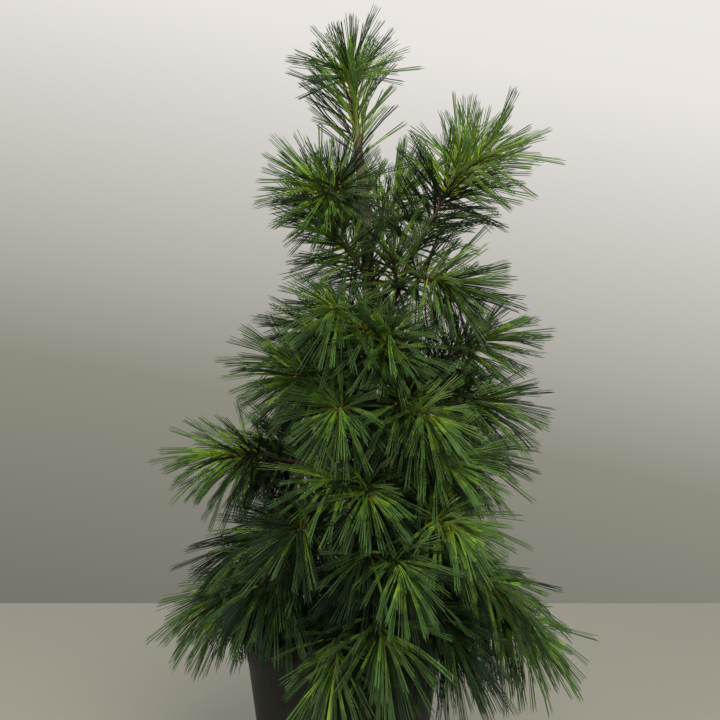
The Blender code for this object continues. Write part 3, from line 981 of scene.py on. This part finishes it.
# %% Colours of the needles
FINISH_PLACES = ("foot", "middle", "point", "inner")
FOOT_LOOK, MIDDLE_LOOK, POINT_LOOK, INNER_LOOK = range(len(FINISH_PLACES))
# The first row is young needles with painted light on them, the second plain young needles, the
# third a painted shade, and the fourth old needles darkened further by painted shade.
NEEDLE_COLOURS = dict(
    bright=[(0.3, 0.4, 0.026), (0.16, 0.29, 0.03), (0.055, 0.115, 0.024), (0.2, 0.3, 0.09)],
    fresh=[(0.15, 0.215, 0.018), (0.082, 0.155, 0.022), (0.034, 0.072, 0.018), (0.12, 0.185, 0.07)],
    shaded=[(0.04, 0.052, 0.007), (0.016, 0.04, 0.006), (0.008, 0.021, 0.005), (0.028, 0.052, 0.016)],
    old_and_shaded=[(0.022, 0.022, 0.005), (0.007, 0.017, 0.004), (0.004, 0.011, 0.003), (0.012, 0.022, 0.009)],
)
BRIGHT, FRESH, SHADED, OLD_AND_SHADED = range(4)
YOUNG = [BRIGHT, FRESH, SHADED]
needle_finishes = [
    plain_finish(f"needle_{shade}_{place}", colour, 0.5, 0.16)
    for shade, row in NEEDLE_COLOURS.items()
    for place, colour in zip(FINISH_PLACES, row)
]
print("needle finishes:", len(needle_finishes))

# %% [markdown]
# ### Bundles
#
# Each shoot gets so many bundles for each millimetre, and a shade. The shades are partly the
# needles' own colour and partly painted light and shade: bright young needles at the ends, old
# needles on the stems darkened further by painted shade, painted shade on some young bundles, and
# the brightest, a painted light, on the boughs that the light reaches first. Some bundles are one
# shade lighter or darker.

# %% Lay out the bundles
GOLDEN_TURN = math.radians(137.508)
BUNDLES_PER_MM = {"end": 1.20, "side": 0.80, "fine": 0.70, "stem": 0.75}
LEAST_BUNDLES = 4
LEANS = {"end": (70, 14), "side": (70, 18), "fine": (68, 22), "stem": (66, 50)}
LEAN_SPREAD = 17
TWIG_SKIN = 0.0018
ROOT_SUNK = 0.6
# The young needles on these boughs get the brightest shades, a painted light.
IN_FULL_LIGHT = {
    "middle_left", "strong", "strong_right", "lower_front_right", "skirt_front",
    "skirt_front_low", "skirt_right", "skirt_right_low", "belt_front", "belt_front_2",
    "shoulder_front_left", "skirt_left",
}
# Shades for each kind of shoot. Old needles on stems and fine shoots are darkened further by painted
# shade, and some young bundles get painted shade too.
SHADE_ODDS = {
    "stem": ([SHADED, OLD_AND_SHADED], [0.35, 0.65]),
    "fine": ([FRESH, SHADED, OLD_AND_SHADED], [0.25, 0.35, 0.40]),
    "lit": ([BRIGHT, FRESH], [0.6, 0.4]),
    "young": (YOUNG, [0.32, 0.38, 0.30]),
}
LIGHTER_SAME_DARKER = [0.26, 0.5, 0.24]


def unit(vectors):
    return vectors / np.maximum(np.linalg.norm(vectors, axis=-1, keepdims=True), 1e-9)


def circle_in(side, up, turn):
    """Directions at the turns round the circle that side and up span."""
    return side * np.cos(turn)[:, None] + up * np.sin(turn)[:, None]


def bundles_on(start, end, radius, count, droop, leans, dice):
    """Roots, headings and droops of the bundles on one straight shoot."""
    start, end = np.array(start), np.array(end)
    axis = unit(end - start)
    side = unit(np.cross(axis, [0.3, 0.2, 1.0] if abs(axis[2]) < 0.9 else [1.0, 0, 0]))
    share = (np.arange(count) + 0.6) / count
    turn = dice.uniform(0, math.tau) + GOLDEN_TURN * np.arange(count)
    lean_from, lean_to = leans
    lean = lean_from + (lean_to - lean_from) * share**1.5
    lean = np.radians(lean + dice.uniform(-LEAN_SPREAD, LEAN_SPREAD, count))
    out = circle_in(side, np.cross(axis, side), turn)
    roots = start + (end - start) * share[:, None] + out * radius * ROOT_SUNK
    headings = unit(np.cos(lean)[:, None] * axis + np.sin(lean)[:, None] * out)
    return roots, headings, np.full(count, droop)


def shade_of(shoot, dice):
    kind = shoot.kind
    if kind in ("end", "side"):
        kind = "lit" if shoot.bough.name in IN_FULL_LIGHT else "young"
    shades, odds = SHADE_ODDS[kind]
    return int(dice.choice(shades, p=odds))


def bundles_of(shoot, dice):
    """Roots, headings, droops and shades of a shoot's bundles."""
    count = max(LEAST_BUNDLES, int(shoot.length() * 1000 * BUNDLES_PER_MM[shoot.kind]))
    droop, leans = shoot.bough.droop, LEANS[shoot.kind]
    bundles = bundles_on(shoot.start, shoot.end, TWIG_SKIN, count, droop, leans, dice)
    shades = np.full(count, shade_of(shoot, dice))
    shades = shades + dice.choice([-1, 0, 1], count, p=LIGHTER_SAME_DARKER)
    return *bundles, np.clip(shades, BRIGHT, OLD_AND_SHADED)


print("bundles on a 55 mm end shoot:", int(55 * BUNDLES_PER_MM["end"]))

# %% [markdown]
# ### From bundles to needles
#
# The five needles of a bundle part only a little, so that from a step away it looks like one
# finger. They share a slight bow and sag with the bough's droop. A needle follows the line
# foot + length x (start x s + bend x s x s), where s runs from 0 to 1.

# %% Spread each bundle into five needles
NEEDLE_LENGTH = 0.090
PER_BUNDLE = 5
BUNDLE_LENGTHS = (0.72, 1.05)
NEEDLE_LENGTHS = (0.96, 1.03)
TURN_SPREAD = 0.4
PARTING = (0.004, 0.042)
PARTING_BEND = (0.00, 0.022)
BOW = 0.055
WEIGHTS = (0.6, 1.2)
SAG_AT_FOOT = 0.42
SAG_ALONG = 0.48
BUNDLE_RADIUS = 0.0005


def spread_bundles(parts, dice):
    """Foot, start, bend, length and shade of each needle."""
    roots, headings, droops, shades = [np.concatenate(column) for column in zip(*parts)]
    count = len(roots)
    five = np.repeat(np.arange(count), PER_BUNDLE)
    needles = len(five)
    length = NEEDLE_LENGTH * dice.uniform(*BUNDLE_LENGTHS, count)[five]
    length = length * dice.uniform(*NEEDLE_LENGTHS, needles)
    heading = headings[five]
    across = unit(np.cross(heading, [0.21, 0.34, 0.92]))
    turn = dice.uniform(0, math.tau, count)[five]
    turn = turn + np.tile(np.arange(PER_BUNDLE), count) * math.tau / PER_BUNDLE
    turn = turn + dice.uniform(-TURN_SPREAD, TURN_SPREAD, needles)
    apart = circle_in(across, np.cross(heading, across), turn)
    spread = apart * dice.uniform(*PARTING, needles)[:, None]
    bend = apart * dice.uniform(*PARTING_BEND, needles)[:, None]
    bend = bend + dice.normal(0, BOW, (count, 3))[five]
    weight = (droops * dice.uniform(*WEIGHTS, count))[five]
    bend[:, 2] -= weight * SAG_ALONG
    down = np.array([0, 0, -1]) * (weight * SAG_AT_FOOT)[:, None]
    start = unit(heading + spread + down)
    return roots[five] + apart * BUNDLE_RADIUS, start, bend, length, shades[five]


print("needles to a bundle:", PER_BUNDLE)

# %% [markdown]
# ### Room for the pot
#
# Low needles hang in front of the pot and must not pass through it. A needle is left out if it
# would enter the wall or the mix at any of four places along its length.

# %% Keep the needles out of the pot
TEST_PLACES = (0.25, 0.5, 0.75, 1.0)
WALL_INNER = 0.1225
WALL_OUTER = 0.1355
WALL_TOP = 0.2425
MIX_CLEAR = 0.003


def clear_of_pot(foot, start, bend, length):
    keep = np.ones(len(foot), bool)
    for s in TEST_PLACES:
        point = foot + length[:, None] * (start * s + bend * s * s)
        reach = np.hypot(point[:, 0], point[:, 1])
        height = point[:, 2]
        in_wall = (reach > WALL_INNER) & (reach < WALL_OUTER) & (height < WALL_TOP)
        in_mix = (reach <= WALL_INNER) & (height < SOIL_TOP + MIX_CLEAR)
        keep &= ~(in_wall | in_mix)
    return keep


print("needles keep clear between radius", WALL_INNER, "and", WALL_OUTER)

# %% [markdown]
# ### Blades
#
# A needle is a slim three-sided blade: four rings of three points and a tip. That is few enough
# faces for tens of thousands of needles.

# %% Build the blades
NEEDLE_RADIUS = 0.00050
RINGS_AT = np.array([0, 0.20, 0.58, 0.95, 1.0])
THICKNESS = np.array([0.80, 1.00, 1.00, 0.85])
RINGS = len(THICKNESS)
LAST_RING = 3 * (RINGS - 1)
BLADE_SIDES = ring_faces(3, RINGS - 1)
BLADE_TIP = [[LAST_RING + j, LAST_RING + (j + 1) % 3, LAST_RING + 3] for j in range(3)]
SIDE_LOOKS = [FOOT_LOOK] * 3 + [INNER_LOOK] + [MIDDLE_LOOK] * 2 + [INNER_LOOK] + [POINT_LOOK] * 2
TIP_LOOKS = [POINT_LOOK] * 3


def blade_points(foot, start, bend, length):
    s = RINGS_AT[:, None]
    middle = foot[:, None] + length[:, None, None] * (start[:, None] * s + bend[:, None] * s**2)
    along = unit(start[:, None] + 2 * bend[:, None] * s)
    side = unit(np.cross(start, [0.52, -0.31, 0.79]))[:, None]
    side = unit(side - (side * along).sum(2, keepdims=True) * along)
    up = np.cross(along, side)
    ring = circle_in(side[:, :RINGS, None], up[:, :RINGS, None], np.arange(3) * math.tau / 3)
    ring = middle[:, :RINGS, None] + ring * (NEEDLE_RADIUS * THICKNESS)[None, :, None, None]
    return np.concatenate([ring.reshape(len(foot), RINGS * 3, 3), middle[:, -1:]], 1)


def blades(name, foot, start, bend, length, shades):
    count = len(foot)
    points = blade_points(foot, start, bend, length)
    face_sets = [repeated(faces, count, points.shape[1]) for faces in (BLADE_SIDES, BLADE_TIP)]
    first_look = shades[:, None] * len(FINISH_PLACES)
    looks = [(first_look + np.array(row)).ravel() for row in (SIDE_LOOKS, TIP_LOOKS)]
    piece = mesh_from_arrays(name, points.reshape(-1, 3), face_sets, np.concatenate(looks))
    smooth(piece)
    give_finish(piece, *needle_finishes)
    return piece


print("triangles in a needle:", 2 * len(BLADE_SIDES) + len(BLADE_TIP))

# %% [markdown]
# ### Needles of the boughs
#
# The needles of each whorl are joined into two pieces, front and back, so that no piece grows too
# large for the export. Each group has its own dice.

# %% Grow the needles of each group of boughs


def group_of(bough):
    if bough.whorl == "strong":
        return "strong_limb"
    half = "back" if bough.tip.y > 0.0 else "front"
    return f"{bough.whorl}_{half}"


def grow_needles():
    groups = {}
    for bough in boughs:
        groups.setdefault(group_of(bough), []).append(bough)
    total = 0
    for group, members in groups.items():
        dice = np.random.default_rng(sum(ord(letter) for letter in group))
        parts = [bundles_of(shoot, dice) for shoot in shoots if shoot.bough in members]
        needles = spread_bundles(parts, dice)
        keep = clear_of_pot(*needles[:4])
        piece = blades(f"needles_{group}", *[column[keep] for column in needles])
        hand_over(piece, foliage_of(members))
        total += int(keep.sum())
    print("needles on the boughs:", total)


grow_needles()

# %% [markdown]
# ## The leader
#
# The top of the trunk is this year's leader. Its bundles grow steeply upwards from the trunk,
# more and more towards the top. Round the end bud they spread into a tuft.

# %% Grow the leader's needles
LEADER_FROM = 0.838
LEADER_STEPS = 7
LEADER_BUNDLES = 7
LEADER_LEAN = 46
LEADER_DROOP = 0.12
LEADER_SKIN = 1.4
# Odds of the young shades: painted light, plain, and painted shade.
LEADER_ODDS = [0.25, 0.45, 0.30]
TUFT_BUNDLES = 42
TUFT_LENGTH = 0.012
TUFT_SKIN = 0.0025
TUFT_DROOP = 0.26
TUFT_LEANS = (84, 20)
TUFT_ODDS = [0.40, 0.40, 0.20]


def leader_step(k, dice):
    """The bundles on one of the leader's lengths, counted from below."""
    low = LEADER_FROM + (TRUNK_TOP - LEADER_FROM) * k / LEADER_STEPS
    high = LEADER_FROM + (TRUNK_TOP - LEADER_FROM) * (k + 1) / LEADER_STEPS
    count = LEADER_BUNDLES + k
    lean = LEADER_LEAN - 2 * k
    skin = trunk_radius(low) * LEADER_SKIN
    ends, leans = (trunk_point(low), trunk_point(high)), (lean, lean - 3)
    bundles = bundles_on(*ends, skin, count, LEADER_DROOP, leans, dice)
    return *bundles, dice.choice(YOUNG, count, p=LEADER_ODDS)


def grow_leader():
    dice = np.random.default_rng(5)
    parts = [leader_step(k, dice) for k in range(LEADER_STEPS)]
    tip = trunk_point(TRUNK_TOP)
    top = tip + Vector((0, 0, TUFT_LENGTH))
    tuft = bundles_on(tip, top, TUFT_SKIN, TUFT_BUNDLES, TUFT_DROOP, TUFT_LEANS, dice)
    parts.append((*tuft, dice.choice(YOUNG, TUFT_BUNDLES, p=TUFT_ODDS)))
    piece = blades("needles_leader", *spread_bundles(parts, dice))
    leader_nodes = [f"foliage_leader_{part}" for part in ("right", "left", "back", "tip")]
    hand_over(piece, leader_nodes)


grow_leader()

# %% [markdown]
# ## Buds
#
# Each shoot ends in a pointed bud, tan with darker scales at its foot and point. A spindle of
# five rings is enough for one. The leader ends in the largest, with four smaller ones round it.

# %% Model the buds
BUD_SIDES = 7
BUD_HEIGHTS = np.array([-0.0015, 0.0012, 0.0036, 0.0062, 0.0088])
BUD_RADII = np.array([0.0013, 0.0023, 0.0024, 0.0016, 0.0002])
BUD_LOOKS = [0, 1, 1, 0]
BUD_SIZES = {"end": 1.0, "side": 0.75, "fine": 0.75}
LEADER_BUD = (0.010, 1.35)
ROUND_BUDS = 4
ROUND_BUD_SIZE = 0.8


def bud_places():
    ends = [shoot for shoot in shoots if shoot.kind != "stem"]
    places = [(end.end, end.end - end.start, BUD_SIZES[end.kind]) for end in ends]
    top = trunk_point(TRUNK_TOP)
    up_by, size = LEADER_BUD
    places.append((top + Vector((0, 0, up_by)), Vector((0, 0, 1)), size))
    for k in range(ROUND_BUDS):
        turn = k * math.tau / ROUND_BUDS + 0.4
        out = Vector((math.cos(turn), math.sin(turn), 1.1))
        places.append((top + Vector((0, 0, 0.006)) + out * 0.003, out, ROUND_BUD_SIZE))
    return places


def model_buds():
    dice = np.random.default_rng(23)
    feet, headings, sizes = zip(*bud_places())
    count = len(feet)
    axis = unit(np.array(headings))
    size = np.array(sizes) * dice.uniform(0.85, 1.15, count)
    side = unit(np.cross(axis, [0.33, 0.61, 0.72]))
    turn = np.arange(BUD_SIDES) * math.tau / BUD_SIDES
    ring = circle_in(side[:, None, None], np.cross(axis, side)[:, None, None], turn)
    tall = (BUD_HEIGHTS[:, None] * size[:, None, None])[..., None]
    wide = (BUD_RADII[:, None] * size[:, None, None])[..., None]
    points = np.array(feet)[:, None, None] + axis[:, None, None] * tall + ring * wide
    bud_faces = ring_faces(BUD_SIDES, len(BUD_HEIGHTS) - 1)
    faces = repeated(bud_faces, count, BUD_SIDES * len(BUD_HEIGHTS))
    looks = np.tile(np.repeat(BUD_LOOKS, BUD_SIDES), count)
    buds = mesh_from_arrays("buds", points.reshape(-1, 3), [faces], looks)
    smooth(buds)
    return buds


buds = model_buds()
give_finish(
    buds,
    plain_finish("bud_scale", (0.150, 0.078, 0.034), 0.6, 0.4),
    plain_finish("bud_tan", (0.330, 0.210, 0.110), 0.6, 0.4),
)
hand_over(twigs, foliage_of(boughs))
hand_over(buds, foliage_of(boughs))

# %% [markdown]
# ## The floor
#
# The plain pale floor ends a metre behind the pot, where the photograph has the foot of its wall.
# There is no wall, so that the plant can be looked at from behind.

# %% Lay the floor
FLOOR_BACK = 0.97
FLOOR_FRONT = -4.0
FLOOR_SIDE = 4.0


def lay_floor():
    deselect()
    middle = (FLOOR_BACK + FLOOR_FRONT) / 2
    bpy.ops.mesh.primitive_plane_add(size=1, location=(0, middle, 0))
    floor = bpy.context.object
    floor.name = floor.data.name = "floor"
    floor.scale = (2 * FLOOR_SIDE, FLOOR_BACK - FLOOR_FRONT, 1)
    bpy.ops.object.transform_apply()
    give_finish(floor, plain_finish("pale_floor", (0.190, 0.190, 0.152), 0.6, 0.3))


lay_floor()
print("floor from", FLOOR_FRONT, "to", FLOOR_BACK)

# %% [markdown]
# ## Light and air
#
# The air is pale grey, darker below and brighter above and to the right, and lights the plant
# softly from all round. It could be a picture of a studio, but a ramp over the height of the view
# is enough. A wide lamp above gives the highlights on the sprays, and one at the front left fills
# the shade.

# %% Light the scene
LOWEST_VIEW = -0.35
HIGHEST_VIEW = 0.65
BRIGHTER_TO_THE_RIGHT = 0.2
AIR = [
    (0.0, (0.16, 0.155, 0.13)),
    (0.22, (0.27, 0.265, 0.215)),
    (0.50, (0.82, 0.785, 0.76)),
    (1.0, (0.98, 0.95, 0.94)),
]


def light_air():
    world = bpy.data.worlds.new("air")
    bpy.context.scene.world = world
    world.use_nodes = True
    place = add_node(world, "ShaderNodeTexCoord")
    split = add_node(world, "ShaderNodeSeparateXYZ")
    aslant = add_node(world, "ShaderNodeMath")
    aslant.operation = "MULTIPLY_ADD"
    aslant.inputs[1].default_value = BRIGHTER_TO_THE_RIGHT
    spread = add_node(world, "ShaderNodeMapRange", From_Min=LOWEST_VIEW, From_Max=HIGHEST_VIEW)
    ramp = colour_ramp(world, AIR)
    wire(place, "Generated", split, "Vector")
    wire(split, "X", aslant, 0)
    wire(split, "Z", aslant, 2)
    wire(aslant, "Value", spread, "Value")
    wire(spread, "Result", ramp, "Fac")
    wire(ramp, "Color", world.node_tree.nodes["Background"], "Color")


def add_lamp(name, place, aim, size, watts, colour):
    lamp = bpy.data.lights.new(name, "AREA")
    lamp.shape = "DISK"
    lamp.size = size
    lamp.energy = watts
    lamp.color = colour
    stand = new_object(name, lamp)
    stand.location = place
    stand.rotation_euler = (Vector(aim) - Vector(place)).to_track_quat("-Z", "Y").to_euler()


light_air()
add_lamp("soft_top", (0.35, -1.2, 2.2), (0, 0, 0.5), 1.2, 66, (1, 0.96, 0.88))
add_lamp("soft_front", (-1.6, -1.9, 1.5), (0, 0, 0.45), 1.4, 26, (1, 0.98, 0.93))
bpy.context.scene.view_settings.view_transform = "Standard"
print("lamps:", [light.name for light in bpy.data.lights])
